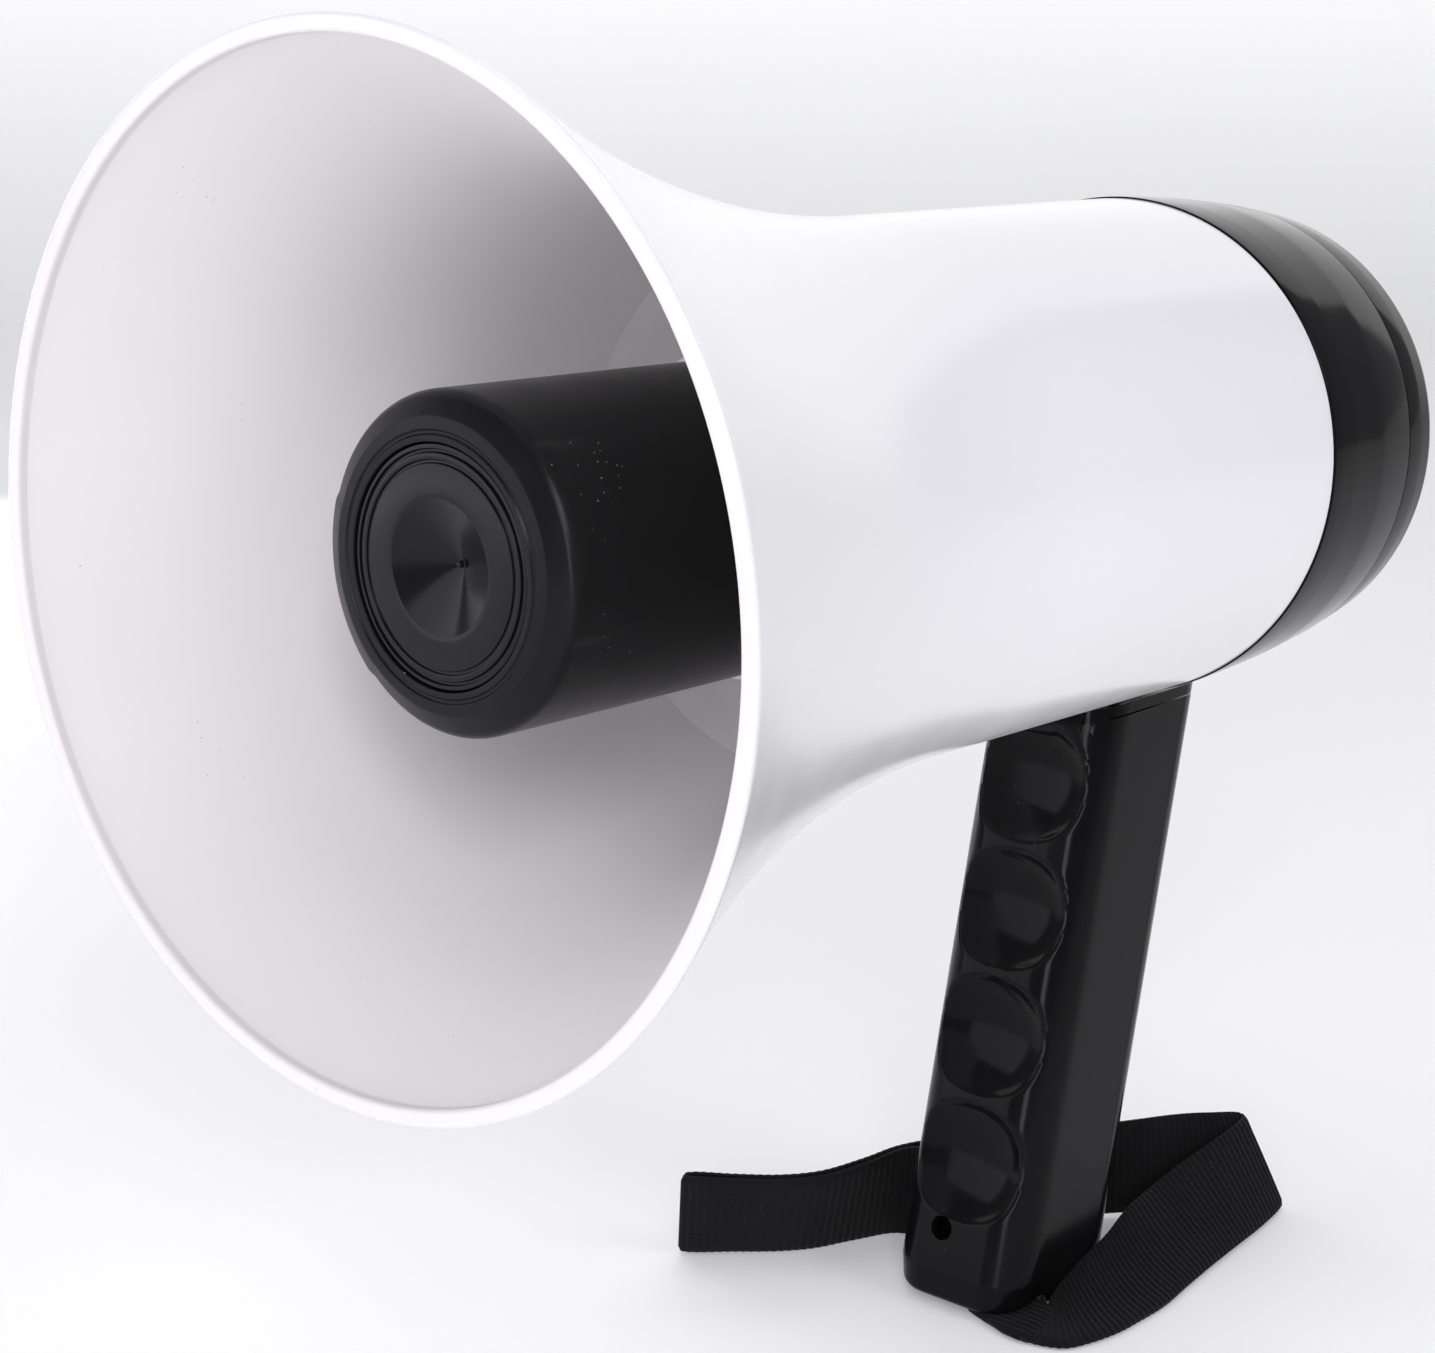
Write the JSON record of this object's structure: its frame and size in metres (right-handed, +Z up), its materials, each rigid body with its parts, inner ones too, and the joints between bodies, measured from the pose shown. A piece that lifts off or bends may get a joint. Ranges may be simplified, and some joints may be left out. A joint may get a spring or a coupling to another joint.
{
  "type": "handheld megaphone",
  "caption": "Handheld megaphone with a flared horn, a driver in a centre tube, a rear control cap and a folding grip with finger scallops and a webbing wrist strap.",
  "frame": {"origin": "centre of the bounding box at the height of the surface that the grip stands on", "axes": "+Z up, +Y along the horn axis from the mouth to the rear cap, +X to the right seen from behind the mouth looking along +Y"},
  "size_m": [0.16, 0.259, 0.2515],
  "materials": {
    "white_shell": "glossy moulded ABS, near white",
    "black_gloss": "glossy black moulded ABS",
    "black_satin": "satin black moulded plastic",
    "black_rubber": "soft black rubber",
    "red_button": "satin red plastic key",
    "inner_plastic": "dark moulded plastic inside",
    "steel": "plated steel",
    "ferrite": "sintered ferrite",
    "copper": "enamelled copper wire",
    "diaphragm_film": "formed phenolic film",
    "board": "green solder resist",
    "cell_sleeve": "printed-free shrink sleeve",
    "led": "clear red lens",
    "webbing": "ribbed woven polypropylene webbing"
  },
  "bodies": {
    "horn": {"horn_bell": "white_shell", "housing_spider": "white_shell", "reflector_bowl": "white_shell", "rear_collar": "black_gloss", "grip_bracket": "black_gloss", "driver_housing": "black_satin", "driver_cover": "black_satin", "driver_frame": "inner_plastic", "throat_horn": "inner_plastic", "bulkhead": "inner_plastic", "battery_tray": "inner_plastic", "magnet_yoke": "steel", "top_plate": "steel", "bracket_screw_1": "steel", "bracket_screw_2": "steel", "contact_spring_1": "steel", "contact_spring_2": "steel", "contact_spring_3": "steel", "contact_spring_4": "steel", "ferrite_magnet": "ferrite", "voice_coil": "copper", "diaphragm": "diaphragm_film", "battery_cell_1": "cell_sleeve", "battery_cell_2": "cell_sleeve", "battery_cell_3": "cell_sleeve", "battery_cell_4": "cell_sleeve"},
    "rear_cap": {"rear_cap": "black_gloss", "control_panel": "black_satin", "mic_grille": "black_satin", "mic_capsule": "steel", "mic_boot": "black_rubber", "circuit_board": "board", "amplifier_chip": "inner_plastic", "volume_pot": "steel", "mode_switch": "steel", "siren_switch": "inner_plastic", "play_switch": "inner_plastic", "talk_switch": "inner_plastic", "charge_jack": "black_rubber", "power_led": "led", "panel_standoff_1": "inner_plastic", "panel_standoff_2": "inner_plastic", "panel_standoff_3": "inner_plastic", "panel_screw_1": "steel", "panel_screw_2": "steel", "panel_screw_3": "steel"},
    "grip": {"grip_front_shell": "black_gloss", "grip_back_cover": "black_gloss", "hinge_pin": "steel", "detent_leaf": "steel", "grip_screw": "steel", "wrist_strap": "webbing"},
    "volume_knob": {"volume_knob": "black_satin"},
    "mode_slider": {"mode_slider": "black_satin"},
    "siren_button": {"siren_button": "red_button"},
    "play_button": {"play_button": "black_rubber"},
    "talk_button": {"talk_button": "black_rubber"}
  },
  "joints": [
    {"name": "grip_fold", "type": "hinge", "parent": "horn", "child": "grip", "pos_m": [0, 0.0571, 0.1179], "axis": [-1, 0, 0], "range_deg": [0, 70]},
    {"name": "rear_cap_twist", "type": "hinge", "parent": "horn", "child": "rear_cap", "pos_m": [0, 0.1135, 0.1715], "axis": [0, 1, 0], "range_deg": [0, 25]},
    {"name": "volume_turn", "type": "hinge", "parent": "rear_cap", "child": "volume_knob", "pos_m": [0.022, 0.1205, 0.1545], "axis": [0, 1, 0], "range_deg": [0, 270]},
    {"name": "mode_slide", "type": "slide", "parent": "rear_cap", "child": "mode_slider", "axis": [0, 0, 1], "range_m": [-0.004, 0.004]},
    {"name": "siren_press", "type": "slide", "parent": "rear_cap", "child": "siren_button", "axis": [0, -1, 0], "range_m": [0, 0.0012], "stiffness_N_per_m": 700, "springref_m": -0.0008},
    {"name": "play_press", "type": "slide", "parent": "rear_cap", "child": "play_button", "axis": [0, -1, 0], "range_m": [0, 0.0012], "stiffness_N_per_m": 700, "springref_m": -0.0008},
    {"name": "talk_press", "type": "slide", "parent": "rear_cap", "child": "talk_button", "axis": [0, -1, 0], "range_m": [0, 0.0018], "stiffness_N_per_m": 700, "springref_m": -0.001}
  ]
}
